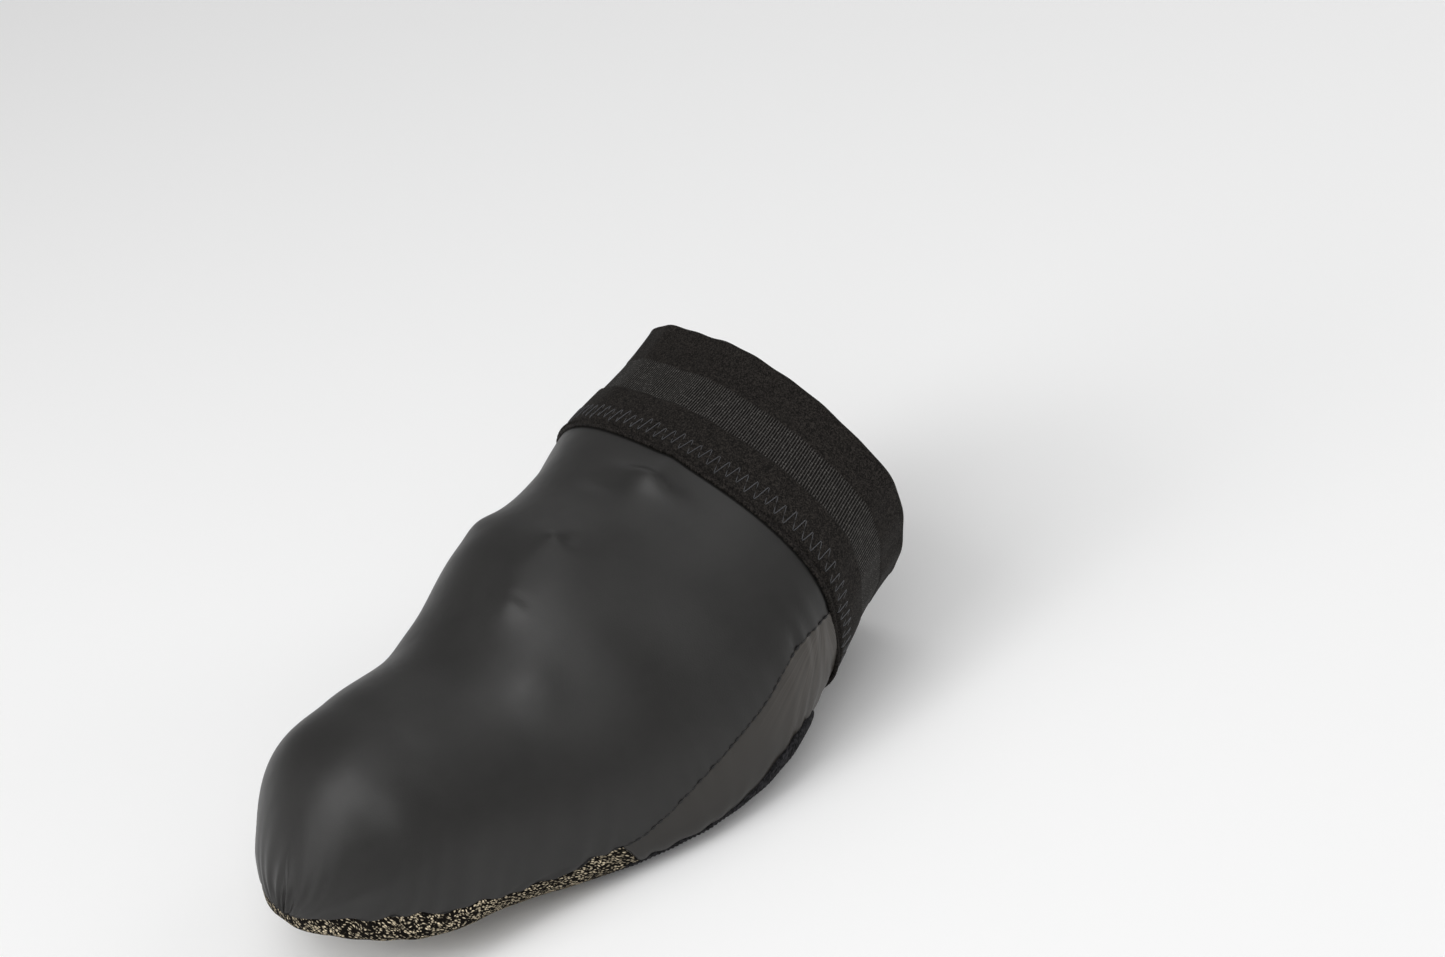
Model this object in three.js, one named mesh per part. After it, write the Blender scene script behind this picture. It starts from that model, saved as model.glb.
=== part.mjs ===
// A cycling toe cover in its worn form: fabric panels round the front of a road cycling shoe, open at
// the instep and open underneath for the cleat. It is the right one of a pair.
// Millimetres. The toe points along -Y, +Z is up and the foot's inner side is +X. The origin is under
// the middle of the whole cover, on the floor.
import * as THREE from "three";

// Driving sizes of the shoe's front and of the cover
const coverLength = 173; // toe tip to the cuff's rear edge, measured along the sides
const ballWidth = 101; // across the ball of the foot
const instepHeight = 80; // top of the cuff's rear edge above the floor
const toeSpring = 16; // how far the toe tip's underside is lifted
const archRise = 12.5; // how far the underside is lifted at the cuff's rear edge
const noseLength = 38; // stretch over which the toe rounds off
const frontReach = noseLength / 4; // within this the guard's top edge meets the ridge
const soleGirth = 0.55 * ballWidth; // surface length of one unit of turn at the sole's edge
const flatCut = 1; // depth by which the rounded underside is flattened on the floor

// Sizes of the pieces
const gap = 0.3; // clearance where two pieces meet
const upperWall = 1.3;
const underWall = 1;
const guardWall = 1.7;
const guardFrontHeight = 22.5; // top edge of the toe guard in front of the toe
const guardSideHeight = 10.7; // and along the sides
const guardSlope = 56; // distance from the toe over which the edge comes down
const guardLength = 67.5; // toe tip to the guard's rear corners
const guardRake = 3; // how much further back the guard reaches at the opening
const openingStart = 64; // toe tip to the cleat opening's front edge
const openingEnd = 126; // and to its rear edge
const openingSide = 0.27; // half the opening's width, as a share of half the girth
const openingRound = 4; // power of the opening's rounded corners
const bindingWidth = 5;
const bindingWall = 1.8;
const bindingProud = 0.4;
const bindingSoft = 0.6; // rounding of the binding's edges
const cuffWidth = 33.5;
const cuffBow = 4.5; // how much further back the cuff's edges lie on the sides
const cuffWall = 1.2;
const cuffProud = 0.3;
const plainZone = 13.5; // the cuff's front zone, which takes the zigzag stitches
const ribZone = 9.5; // the ribbed zone behind it
const ribProud = 0.7;
const beadWidth = 2;
const beadProud = 0.9;
const beadShoulder = 0.5; // rounding of the bead's front
const zoneSlope = 0.5; // length of the small slopes between the cuff's zones

// Sections of the last, from the toe tip back. at is a share of coverLength. inner and outer, the half
// widths, and lean, the ridge's place, are shares of ballWidth. ridge and girth, the height of the
// widest line, are shares of instepHeight. toe and arch, the underside's height, are shares of
// toeSpring and archRise. roundIn, roundOut and roundUnder are the powers of the section's quarters:
// upper inner, upper outer and both lower ones.
const sectionColumns = [
  "at", "inner", "outer", "lean", "ridge", "girth",
  "toe", "arch", "roundIn", "roundOut", "roundUnder",
];
const sections = [
  [0, 0.244, 0.237, 0.039, 0.483, 0.251, 1, 0, 2.3, 2.15, 3],
  [0.104, 0.335, 0.323, 0.034, 0.672, 0.187, 0.66, 0, 2.3, 2.2, 3.2],
  [0.231, 0.369, 0.385, 0.029, 0.69, 0.179, 0.355, 0, 2.2, 2.05, 3.4],
  [0.376, 0.447, 0.408, 0.021, 0.689, 0.131, 0, 0, 2.1, 1.9, 3.4],
  [0.52, 0.53, 0.437, 0, 0.853, 0.116, 0, 0, 1.97, 2.05, 3.4],
  [0.665, 0.541, 0.46, -0.02, 0.848, 0.214, 0, 0, 1.9, 2.15, 3.2],
  [0.809, 0.505, 0.483, -0.038, 0.885, 0.453, 0, 0.16, 1.85, 2.3, 2.8],
  [0.936, 0.458, 0.463, -0.04, 0.947, 0.5625, 0, 0.64, 1.82, 2.35, 2.5],
  [1.064, 0.43, 0.461, -0.041, 1.075, 0.62, 0, 1, 1.8, 2.4, 2.4],
].map((row) => Object.fromEntries(row.map((value, k) => [sectionColumns[k], value])));
const roundNose = 2.3; // power of the toe's outline

// Height of the side seam above the floor. at is a share of coverLength, height of instepHeight.
const seam = [
  { at: 0.385, height: 0.13 },
  { at: 0.419, height: 0.135 },
  { at: 0.443, height: 0.154 },
  { at: 0.513, height: 0.218 },
  { at: 0.582, height: 0.266 },
  { at: 0.65, height: 0.311 },
  { at: 0.736, height: 0.398 },
  { at: 0.81, height: 0.414 },
];

// What the shoe's straps and lacing push up under the fabric. at is a share of coverLength, turn runs
// from 0 on the ridge to 0.5 on the inner side, reach is a share of ballWidth, height of instepHeight.
const lumpTurn = 1.6; // ball widths that one unit of turn spans over a lump
const lumps = [
  { at: 0.728, turn: 0.08, reach: 0.06, height: 0.013 },
  { at: 0.563, turn: 0.058, reach: 0.055, height: 0.014 },
  { at: 0.461, turn: 0.07, reach: 0.05, height: 0.012 },
  { at: 0.416, turn: 0.18, reach: 0.13, height: 0.018 },
];

// Grid steps of the faceted pieces
const guardSteps = 15;
const seamSteps = 14;
const upperSteps = 30;
const rimSteps = 30;
const rimRows = 7;
const underRows = 5;
const underSteps = 40;
const sideShare = 0.3; // share of the under panel's steps that follow each seam
const ringSteps = 48;

// A smooth curve through one column of a table, with slopes from the neighbouring points
function along(table, column, y) {
  const t = y / coverLength;
  const last = table.length - 1;
  let i = 0;
  while (i < last - 1 && table[i + 1].at <= t) i++;
  const pace = (k) => (table[k + 1][column] - table[k][column]) / (table[k + 1].at - table[k].at);
  const slope = (k) => {
    if (k === 0) return pace(0);
    if (k === last) return pace(last - 1);
    const before = table[k].at - table[k - 1].at;
    const after = table[k + 1].at - table[k].at;
    return (pace(k - 1) * after + pace(k) * before) / (before + after);
  };
  const step = table[i + 1].at - table[i].at;
  const f = (t - table[i].at) / step;
  return (
    table[i][column] * (2 * f ** 3 - 3 * f ** 2 + 1) +
    slope(i) * step * (f ** 3 - 2 * f ** 2 + f) +
    table[i + 1][column] * (3 * f ** 2 - 2 * f ** 3) +
    slope(i + 1) * step * (f ** 3 - f ** 2)
  );
}

// A point of the rounded square |x|^power + |z|^power = 1, at an angle from +z
function roundedSquare(angle, power) {
  const s = Math.sin(angle);
  const c = Math.cos(angle);
  const reach = (Math.abs(s) ** power + Math.abs(c) ** power) ** (1 / power);
  return [s / reach, c / reach];
}

function section(y) {
  return {
    inner: along(sections, "inner", y) * ballWidth,
    outer: along(sections, "outer", y) * ballWidth,
    lean: along(sections, "lean", y) * ballWidth,
    ridge: along(sections, "ridge", y) * instepHeight,
    girth: along(sections, "girth", y) * instepHeight,
    under: along(sections, "toe", y) * toeSpring + along(sections, "arch", y) * archRise - flatCut,
    roundIn: along(sections, "roundIn", y),
    roundOut: along(sections, "roundOut", y),
    roundUnder: along(sections, "roundUnder", y),
  };
}

// How full the section is: 0 at the toe tip, 1 where the nose ends
function fullness(y) {
  const q = Math.min(Math.max(y / noseLength, 0), 1);
  return (1 - (1 - q) ** roundNose) ** (1 / roundNose);
}

function lumpHeight(y, turn) {
  let height = 0;
  for (const lump of lumps) {
    const dy = (y - lump.at * coverLength) / (lump.reach * ballWidth);
    const dx = ((turn - lump.turn) * lumpTurn) / lump.reach;
    height += lump.height * instepHeight * Math.exp(-dx * dx - dy * dy);
  }
  return height;
}

// The cover's surface. y is the distance from the toe tip. turn goes round the section: 0 on the
// ridge, 0.5 on the inner side, 1 under the middle, and -0.5 or 1.5 on the outer side. depth is
// measured inwards.
function surface(y, turn, depth) {
  const w = turn > 1 ? turn - 2 : turn;
  const s = section(y);
  const isInner = w >= 0;
  const isTop = Math.abs(w) <= 0.5;
  const power = isTop ? (isInner ? s.roundIn : s.roundOut) : s.roundUnder;
  const [across, up] = roundedSquare(Math.abs(w) * Math.PI, power);
  const d = depth - lumpHeight(y, w);
  const full = fullness(y);
  const half = isInner ? s.inner - s.lean : s.outer + s.lean;
  const tall = isTop ? s.ridge - s.girth : s.girth - s.under;
  const z = s.girth + (tall - d) * full * up;
  const inset = d * Math.max(1 - y / noseLength, 0);
  return new THREE.Vector3(
    s.lean + (isInner ? 1 : -1) * (half - d) * full * across,
    y + inset,
    Math.max(z, Math.max(depth, 0)),
  );
}

// The turn at which the surface has a given height
function turnAt(y, height, side) {
  const s = section(y);
  const full = fullness(y);
  const isTop = height >= s.girth;
  const power = isTop ? (side > 0 ? s.roundIn : s.roundOut) : s.roundUnder;
  const tall = isTop ? s.ridge - s.girth : s.girth - s.under;
  const up = Math.min(Math.abs(height - s.girth) / (tall * full), 1);
  const across = (1 - up ** power) ** (1 / power);
  return side * (Math.atan2(across, isTop ? up : -up) / Math.PI);
}

// The guard's top edge: height over the distance from the toe
function guardHeight(y) {
  const f = Math.min(y / guardSlope, 1);
  return guardSideHeight + (guardFrontHeight - guardSideHeight) * (1 + Math.cos(Math.PI * f)) / 2;
}

// An edge that runs along the surface, from a function of 0 to 1 that gives y and turn
class Edge extends THREE.Curve {
  constructor(at) {
    super();
    this.at = at;
    this.arcLengthDivisions = 300;
  }
  getPoint(t) {
    const [y, turn] = this.at(t);
    return surface(y, turn, 0);
  }
  even(share) {
    return this.at(this.getUtoTmapping(share));
  }
}

// Top edge of the guard on one side, from the front middle to the rear corner, raised by lift
function guardEdge(side, lift, length = guardLength) {
  const reached = (y) => {
    const s = section(y);
    return (guardHeight(y) + lift - s.girth) / ((s.ridge - s.girth) * fullness(y)) <= 1;
  };
  let low = 0;
  let high = frontReach;
  for (let k = 0; k < 50; k++) {
    const middle = (low + high) / 2;
    if (reached(middle)) high = middle;
    else low = middle;
  }
  return new Edge((t) => {
    const y = high + (length - high) * t ** roundNose;
    return [y, t === 0 ? 0 : turnAt(y, guardHeight(y) + lift, side)];
  });
}

const cuffFront = coverLength - cuffWidth - cuffBow;
const bow = (turn) => cuffBow * Math.sin(Math.PI * turn) ** 2;
const seamHeight = (y) => along(seam, "height", y) * instepHeight;

// The side seam, from the guard's corner back to the cuff
function seamEdge(side, lift, start, end) {
  return new Edge((t) => {
    const y = start + (end - start) * t;
    return [y, turnAt(y, seamHeight(y) + lift, side)];
  });
}

// The rounded opening under the sole, grown outwards. angle is 0 in front and positive inside.
const openingMiddle = (openingStart + openingEnd) / 2;
const openingHalf = (openingEnd - openingStart) / 2;
function openingEdge(angle, grow) {
  const [across, ahead] = roundedSquare(angle, openingRound);
  return [
    openingMiddle - (openingHalf + grow) * ahead,
    1 - (openingSide + grow / soleGirth) * across,
  ];
}

// The angle at which the grown opening reaches a distance from the toe
function openingAngle(y, grow) {
  const ahead = (openingMiddle - y) / (openingHalf + grow);
  return Math.atan((ahead ** -openingRound - 1) ** (1 / openingRound));
}

// Flat map of the toe with its tip in the middle, and back, so that lines can run past the tip
function toMap([y, turn]) {
  const q = Math.min(y / noseLength, 1);
  const r = Math.acos((1 - q) ** (roundNose / 2)) + Math.max(y / noseLength - 1, 0);
  return [r * Math.sin(Math.PI * turn), r * Math.cos(Math.PI * turn)];
}

function fromMap([a, b]) {
  const r = Math.hypot(a, b);
  const rest = Math.max(r - Math.PI / 2, 0);
  const y = noseLength * (1 - Math.cos(Math.min(r, Math.PI / 2)) ** (2 / roundNose) + rest);
  return [y, Math.atan2(a, b) / Math.PI];
}

const mix = (a, b, f) => a + (b - a) * f;
const blend = ([a, b], [c, d], f) => [mix(a, c, f), mix(b, d, f)];
const ease = (f) => f * f * (3 - 2 * f);

// A closed body from triangles given as corner points, without those that have shrunk to a line
function body(triangles) {
  const positions = [];
  const near = (p, q) => p.distanceToSquared(q) < 1e-8;
  for (const [a, b, c] of triangles) {
    if (near(a, b) || near(b, c) || near(c, a)) continue;
    positions.push(...a, ...b, ...c);
  }
  const geometry = new THREE.BufferGeometry();
  geometry.setAttribute("position", new THREE.Float32BufferAttribute(positions, 3));
  geometry.computeVertexNormals();
  return geometry;
}

// Both triangles of every cell of a grid of points
function cells(grid) {
  const triangles = [];
  for (let i = 0; i + 1 < grid.length; i++) {
    for (let j = 0; j + 1 < grid[i].length; j++) {
      const [a, b, c, d] = [grid[i][j], grid[i + 1][j], grid[i + 1][j + 1], grid[i][j + 1]];
      triangles.push([a, b, c], [a, c, d]);
    }
  }
  return triangles;
}

// A sheet of fabric: the outer and inner faces of a grid of [y, turn] places, and its four rims
function sheet(places, wall) {
  const outside = places.map((row) => row.map(([y, turn]) => surface(y, turn, 0)));
  const inside = places.map((row) => row.map(([y, turn]) => surface(y, turn, wall)));
  const last = places.length - 1;
  const end = places[0].length - 1;
  const rims = [
    [inside[0], outside[0]],
    [outside[last], inside[last]],
    [outside.map((row) => row[0]), inside.map((row) => row[0])],
    [inside.map((row) => row[end]), outside.map((row) => row[end])],
  ];
  const flipped = inside.map((row) => [...row].reverse());
  return body([outside, flipped, ...rims].flatMap(cells));
}

// A closed loop: a profile of points carried round. at(i) gives the profile's points at step i.
function loop(steps, at) {
  const grid = [];
  for (let i = 0; i <= steps; i++) {
    const profile = at(i === steps ? 0 : i / steps);
    grid.push([...profile, profile[0]]);
  }
  return body(cells(grid));
}

// Main panel: from the guard's top edge over the toes to the cuff, between the two side seams. Each
// row runs across, from the inner seam to the outer one, and the last rows take the cuff's bow.
function upperGeometry() {
  const lift = gap / 2;
  const corner = cuffFront + cuffBow - gap;
  const guards = [guardEdge(-1, lift), guardEdge(1, lift)];
  const seams = [-1, 1].map((side) => seamEdge(side, lift, guardLength, corner));
  const rows = [];
  for (let k = 0; k <= guardSteps + seamSteps; k++) {
    const isFront = k <= guardSteps;
    const share = isFront ? k / guardSteps : (k - guardSteps) / seamSteps;
    const [outer, inner] = (isFront ? guards : seams).map((edge) => edge.even(share));
    const drop = isFront ? 0 : cuffBow * ease(share);
    const row = [];
    for (let j = 0; j <= upperSteps; j++) {
      const f = j / upperSteps;
      const turn = mix(inner[1], outer[1], f);
      const y = mix(inner[0], outer[0], f);
      row.push([y - drop * Math.cos(Math.PI * turn) ** 2, turn]);
    }
    rows.push(row);
  }
  return sheet(rows, upperWall);
}

// A place whose turn counts on past 1 where it is on the outer side
const lapped = ([y, turn], side) => [y, side > 0 && turn < 0 ? turn + 2 : turn];

// Toe guard: from its top edge round the toe, down and under to the binding. In front its rows run
// straight past the toe tip, and at its rear corners they keep to the edge of the under panel.
function guardGeometry() {
  const length = guardLength - gap / 2;
  const edges = [guardEdge(1, -gap / 2, length), guardEdge(-1, -gap / 2, length)];
  const grow = bindingWidth + gap;
  const widest = openingAngle(length + guardRake, grow);
  const rows = [];
  for (let i = 0; i <= rimSteps; i++) {
    const f = (2 * i) / rimSteps - 1;
    const top = lapped(edges[f < 0 ? 0 : 1].even(Math.abs(f)), f);
    const under = openingEdge(-f * widest, grow);
    const row = [];
    for (let j = 0; j <= rimRows; j++) {
      const share = j / rimRows;
      const past = lapped(fromMap(blend(toMap(top), toMap(under), share)), f);
      row.push(blend(past, blend(top, under, share), f ** 4));
    }
    rows.push(row);
  }
  return sheet(rows, guardWall);
}

// Under panel: from the guard's inner corner back along the seam, under the arch in front of the
// cuff, and forward to the outer corner, always between the binding and the seam or the cuff
function underGeometry() {
  const length = guardLength + gap / 2;
  const corner = cuffFront + cuffBow - gap;
  const [inner, outer] = [1, -1].map((side) => seamEdge(side, -gap / 2, length, corner));
  const grow = bindingWidth + gap;
  const first = openingAngle(length + guardRake, grow);
  const turns = [inner.at(1)[1], 2 + outer.at(1)[1]];
  const rows = [];
  for (let i = 0; i <= underSteps; i++) {
    const f = i / underSteps;
    let far;
    if (f < sideShare) far = inner.even(f / sideShare);
    else if (f > 1 - sideShare) {
      const [y, turn] = outer.even((1 - f) / sideShare);
      far = [y, turn + 2];
    } else {
      const turn = mix(...turns, (f - sideShare) / (1 - 2 * sideShare));
      far = [cuffFront - gap + bow(turn), turn];
    }
    const near = openingEdge(mix(first, 2 * Math.PI - first, f), grow);
    const row = [];
    for (let j = 0; j <= underRows; j++) row.push(blend(near, far, j / underRows));
    rows.push(row);
  }
  return sheet(rows, underWall);
}

// Binding: a soft flat loop round the cleat opening
function bindingGeometry() {
  const top = -bindingProud;
  const inside = bindingWall - bindingProud;
  const profile = [
    [0, top + bindingSoft],
    [0, inside - bindingSoft],
    [bindingSoft, inside],
    [bindingWidth - bindingSoft, inside],
    [bindingWidth, inside - bindingSoft],
    [bindingWidth, top + bindingSoft],
    [bindingWidth - bindingSoft, top],
    [bindingSoft, top],
  ];
  return loop(ringSteps, (f) =>
    profile.map(([grow, depth]) => {
      const [y, turn] = openingEdge(-2 * Math.PI * f, grow);
      return surface(y, turn, depth);
    }),
  );
}

// Cuff: an elastic loop with a rolled front edge, a plain zone, a ribbed zone and a plain zone
function cuffGeometry() {
  const ribStart = plainZone;
  const ribEnd = plainZone + ribZone;
  const profile = [
    [0, cuffWall],
    [0, 0],
    [beadShoulder, -beadProud],
    [beadWidth, -beadProud],
    [beadWidth + zoneSlope, -cuffProud],
    [ribStart, -cuffProud],
    [ribStart + zoneSlope, -ribProud],
    [ribEnd, -ribProud],
    [ribEnd + zoneSlope, -cuffProud],
    [cuffWidth - zoneSlope, -cuffProud],
    [cuffWidth, 0],
    [cuffWidth, cuffWall],
  ];
  return loop(ringSteps, (f) => {
    const turn = 2 * f;
    return profile.map(([back, depth]) => surface(cuffFront + bow(turn) + back, turn, depth));
  });
}

const finishes = {
  upper: { color: 0x3d3d3c, roughness: 0.55, metalness: 0 },
  under_panel: { color: 0x3f3c39, roughness: 0.5, metalness: 0 },
  toe_guard: { color: 0x453f37, roughness: 0.9, metalness: 0 },
  opening_binding: { color: 0x1c1b1a, roughness: 0.85, metalness: 0 },
  cuff: { color: 0x252321, roughness: 0.85, metalness: 0 },
};
const geometries = {
  upper: upperGeometry(),
  under_panel: underGeometry(),
  toe_guard: guardGeometry(),
  opening_binding: bindingGeometry(),
  cuff: cuffGeometry(),
};

const cover = new THREE.Group();
for (const [name, geometry] of Object.entries(geometries)) {
  const mesh = new THREE.Mesh(geometry, new THREE.MeshStandardMaterial(finishes[name]));
  mesh.name = name;
  cover.add(mesh);
}
const box = new THREE.Box3().setFromObject(cover);
const middle = box.getCenter(new THREE.Vector3());
for (const mesh of cover.children) mesh.position.set(-middle.x, -middle.y, -box.min.z);

export default cover;
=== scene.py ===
import math
import bmesh
import bpy
import numpy as np
from mathutils import Matrix, Vector


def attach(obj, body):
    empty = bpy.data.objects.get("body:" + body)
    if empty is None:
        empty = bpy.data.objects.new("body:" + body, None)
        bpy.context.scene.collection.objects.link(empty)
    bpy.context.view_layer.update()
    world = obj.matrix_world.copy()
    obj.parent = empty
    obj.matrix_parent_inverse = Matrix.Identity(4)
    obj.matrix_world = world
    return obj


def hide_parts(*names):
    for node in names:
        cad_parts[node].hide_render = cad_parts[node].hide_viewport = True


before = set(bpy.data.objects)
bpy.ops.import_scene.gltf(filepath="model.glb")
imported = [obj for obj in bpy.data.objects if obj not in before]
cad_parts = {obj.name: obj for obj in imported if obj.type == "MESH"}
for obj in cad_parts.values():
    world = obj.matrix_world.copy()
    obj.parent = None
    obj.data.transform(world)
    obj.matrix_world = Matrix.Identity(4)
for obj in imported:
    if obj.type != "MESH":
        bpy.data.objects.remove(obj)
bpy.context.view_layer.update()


# Main panel: coated stretch fabric with a brushed back, cut in one piece over the toes and the instep.
# It is pulled over the shoe, so it lies smooth, with dents where straps and lacing end under it. Its
# edges are turned in where they are sewn to the toe guard and to the side panel.
COVER_LENGTH = 173.0
BALL_WIDTH = 101.0
INSTEP_HEIGHT = 80.0
TOE_SPRING = 16.0
ARCH_RISE = 12.5
NOSE_LENGTH = 38.0
NOSE_POWER = 2.3
FLAT_CUT = 1.0
MIDDLE = np.array([2.607, 86.567, 0.0])  # the origin's place on the last, whose toe tip is at y = 0
METRES = 0.001

SECTIONS = np.array([
    # at, inner, outer, lean, ridge, girth, toe, arch, upper inner, upper outer and lower rounding
    [0, 0.244, 0.237, 0.039, 0.483, 0.251, 1, 0, 2.3, 2.15, 3],
    [0.104, 0.335, 0.323, 0.034, 0.672, 0.187, 0.66, 0, 2.3, 2.2, 3.2],
    [0.231, 0.369, 0.385, 0.029, 0.69, 0.179, 0.355, 0, 2.2, 2.05, 3.4],
    [0.376, 0.447, 0.408, 0.021, 0.689, 0.131, 0, 0, 2.1, 1.9, 3.4],
    [0.52, 0.53, 0.437, 0, 0.853, 0.116, 0, 0, 1.97, 2.05, 3.4],
    [0.665, 0.541, 0.46, -0.02, 0.848, 0.214, 0, 0, 1.9, 2.15, 3.2],
    [0.809, 0.505, 0.483, -0.038, 0.885, 0.453, 0, 0.16, 1.85, 2.3, 2.8],
    [0.936, 0.458, 0.463, -0.04, 0.947, 0.5625, 0, 0.64, 1.82, 2.35, 2.5],
    [1.064, 0.43, 0.461, -0.041, 1.075, 0.62, 0, 1, 1.8, 2.4, 2.4],
])
SEAM = np.array([
    # at, height
    [0.385, 0.13], [0.419, 0.135], [0.443, 0.154], [0.513, 0.218],
    [0.582, 0.266], [0.65, 0.311], [0.736, 0.398], [0.81, 0.414],
])
LUMPS = [
    # at, turn, reach, height
    (0.728, 0.08, 0.06, 0.013), (0.563, 0.058, 0.055, 0.014),
    (0.461, 0.07, 0.05, 0.012), (0.416, 0.18, 0.13, 0.018),
]
LUMP_TURN = 1.6  # how much sharper a lump falls in units of turn than in ball widths
GUARD_FRONT, GUARD_SIDE, GUARD_SLOPE = 22.5, 10.7, 56.0
GUARD_LENGTH = 67.5
GUARD_WAVES = [(0.4, 2.3, 0), (0.3, 1.05, 1)]  # height, length for a radian, and start of a seam's wave
GUARD_CALM = 4.0  # length over which the waves grow from each end
CUFF_WIDTH, CUFF_BOW = 33.5, 4.5
CUFF_FRONT = COVER_LENGTH - CUFF_WIDTH - CUFF_BOW
UPPER_WALL = 1.3
SEAM_GAP = 0.1
TURN_RADIUS = 0.22  # rounding of an edge that is turned in and sewn
GIRTH_TURN = 100.0  # surface length of one unit of turn on the upper
GUARD_ROWS, SEAM_ROWS, UPPER_COLUMNS = 96, 84, 276
SEAM_POINTS, EDGE_POINTS, TIP_POINTS = 2001, 4001, 20001  # dense places, from which even ones are picked
MERGE = 2e-6  # points of neighbouring grids that are nearer than this, in metres, are one


def along(table, column, y):
    """One column of a table at distances y: a cubic between rows, whose slope at a row is the mean of
    the slopes to its neighbours, each weighted by the other's distance."""
    at, values, t = table[:, 0], table[:, column], y / COVER_LENGTH
    step = np.diff(at)
    pace = np.diff(values) / step
    middle = (pace[:-1] * step[1:] + pace[1:] * step[:-1]) / (step[:-1] + step[1:])
    slope = np.r_[pace[0], middle, pace[-1]]
    i = np.clip(np.searchsorted(at, t, side="right") - 1, 0, len(at) - 2)
    f = (t - at[i]) / step[i]
    ends = values[i] * (2 * f**3 - 3 * f**2 + 1) + values[i + 1] * (3 * f**2 - 2 * f**3)
    return ends + step[i] * (slope[i] * (f**3 - 2 * f**2 + f) + slope[i + 1] * (f**3 - f**2))


def rounded_square(angle, power):
    """Sine and cosine of the angle, over the power mean of both, which squares the circle's corners."""
    s, c = np.sin(angle), np.cos(angle)
    reach = (np.abs(s) ** power + np.abs(c) ** power) ** (1 / power)
    return s / reach, c / reach


def fullness(y):
    """How full the section is: a quarter of a rounded square over the nose's length, then 1."""
    return (1 - (1 - np.clip(y / NOSE_LENGTH, 0, 1)) ** NOSE_POWER) ** (1 / NOSE_POWER)


def under_height(y):
    """The underside's height: toe spring and arch rise, less the flat cut."""
    return along(SECTIONS, 6, y) * TOE_SPRING + along(SECTIONS, 7, y) * ARCH_RISE - FLAT_CUT


def past_ridge(turn):
    """The turn from the ridge, positive on the inner side and negative on the outer side."""
    return np.where(turn > 1, turn - 2, turn)


def surface(y, turn, depth):
    """Points of the last, in mm: y from the toe tip, turn round the section (0 ridge, 0.5 inner side,
    1 underneath, -0.5 or 1.5 outer side) and depth inwards. Each quarter of a section is a rounded
    square of its own half width, height and power, scaled by the fullness and cut off by the floor."""
    y, turn, depth = np.broadcast_arrays(*[np.asarray(a, float) for a in (y, turn, depth)])
    w = past_ridge(turn)
    is_inner, is_top = w >= 0, np.abs(w) <= 0.5
    upper_power = np.where(is_inner, along(SECTIONS, 8, y), along(SECTIONS, 9, y))
    across, up = rounded_square(np.abs(w) * np.pi, np.where(is_top, upper_power, along(SECTIONS, 10, y)))
    inner, outer, lean = [along(SECTIONS, column, y) * BALL_WIDTH for column in (1, 2, 3)]
    ridge, girth = [along(SECTIONS, column, y) * INSTEP_HEIGHT for column in (4, 5)]
    half = np.where(is_inner, inner - lean, outer + lean)
    tall = np.where(is_top, ridge - girth, girth - under_height(y))
    d = depth.copy()
    for at, lump_turn, reach, height in LUMPS:
        aside = LUMP_TURN * (w - lump_turn) / reach
        ahead = (y - at * COVER_LENGTH) / (reach * BALL_WIDTH)
        d -= height * INSTEP_HEIGHT * np.exp(-aside**2 - ahead**2)
    full = fullness(y)
    x = lean + np.where(is_inner, 1, -1) * (half - d) * full * across
    z = np.maximum(girth + (tall - d) * full * up, np.maximum(depth, 0))
    return np.stack([x, y + d * np.maximum(1 - y / NOSE_LENGTH, 0), z], -1) - MIDDLE


def turn_at(y, height, side):
    """The turn at which the surface has that height: the rounded square solved for its angle."""
    ridge, girth = along(SECTIONS, 4, y) * INSTEP_HEIGHT, along(SECTIONS, 5, y) * INSTEP_HEIGHT
    is_top = height >= girth
    upper_power = along(SECTIONS, 8 if side > 0 else 9, y)
    power = np.where(is_top, upper_power, along(SECTIONS, 10, y))
    tall = np.where(is_top, ridge - girth, girth - under_height(y)) * fullness(y)
    up = np.minimum(np.abs(height - girth) / tall, 1)
    return side * np.arctan2((1 - up**power) ** (1 / power), np.where(is_top, up, -up)) / np.pi


def run_along(points):
    """Length along a row of points, from its start."""
    return np.r_[0, np.cumsum(np.linalg.norm(np.diff(points, axis=0), axis=1))]


def evenly(y, turn, shares):
    """Places at even shares of the length of an edge that is given as dense places."""
    steps = np.linalg.norm(np.diff(surface(y, turn, 0), axis=0), axis=1)
    run = np.r_[0, np.cumsum(steps)] / steps.sum()
    return np.interp(shares, run, y), np.interp(shares, run, turn)


def guard_height(y):
    """Height of the toe guard's top edge: a cosine that falls from the front to the sides, with
    the small waves of a hand guided seam."""
    even = GUARD_SIDE + (GUARD_FRONT - GUARD_SIDE) * (1 + np.cos(np.pi * np.minimum(y / GUARD_SLOPE, 1))) / 2
    waves = sum(height * np.sin(y / length + start) for height, length, start in GUARD_WAVES)
    return even + waves * np.clip(y / GUARD_CALM, 0, 1) * np.clip((GUARD_LENGTH - y) / GUARD_CALM, 0, 1)


def seam_height(y):
    """Height of the side seam, from its table."""
    return along(SEAM, 1, y) * INSTEP_HEIGHT


def guard_edge(side, lift, length, shares):
    """The guard's top edge on one side, raised by lift, from the front middle to the rear corner."""
    y = np.linspace(1e-6, NOSE_LENGTH / 4, TIP_POINTS)
    girth = along(SECTIONS, 5, y) * INSTEP_HEIGHT
    tall = (along(SECTIONS, 4, y) * INSTEP_HEIGHT - girth) * fullness(y)
    start = y[np.argmax((guard_height(y) + lift - girth) / tall <= 1)]
    y = start + (length - start) * np.linspace(0, 1, EDGE_POINTS) ** NOSE_POWER
    turn = turn_at(y, guard_height(y) + lift, side)
    turn[0] = 0
    return evenly(y, turn, shares)


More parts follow.
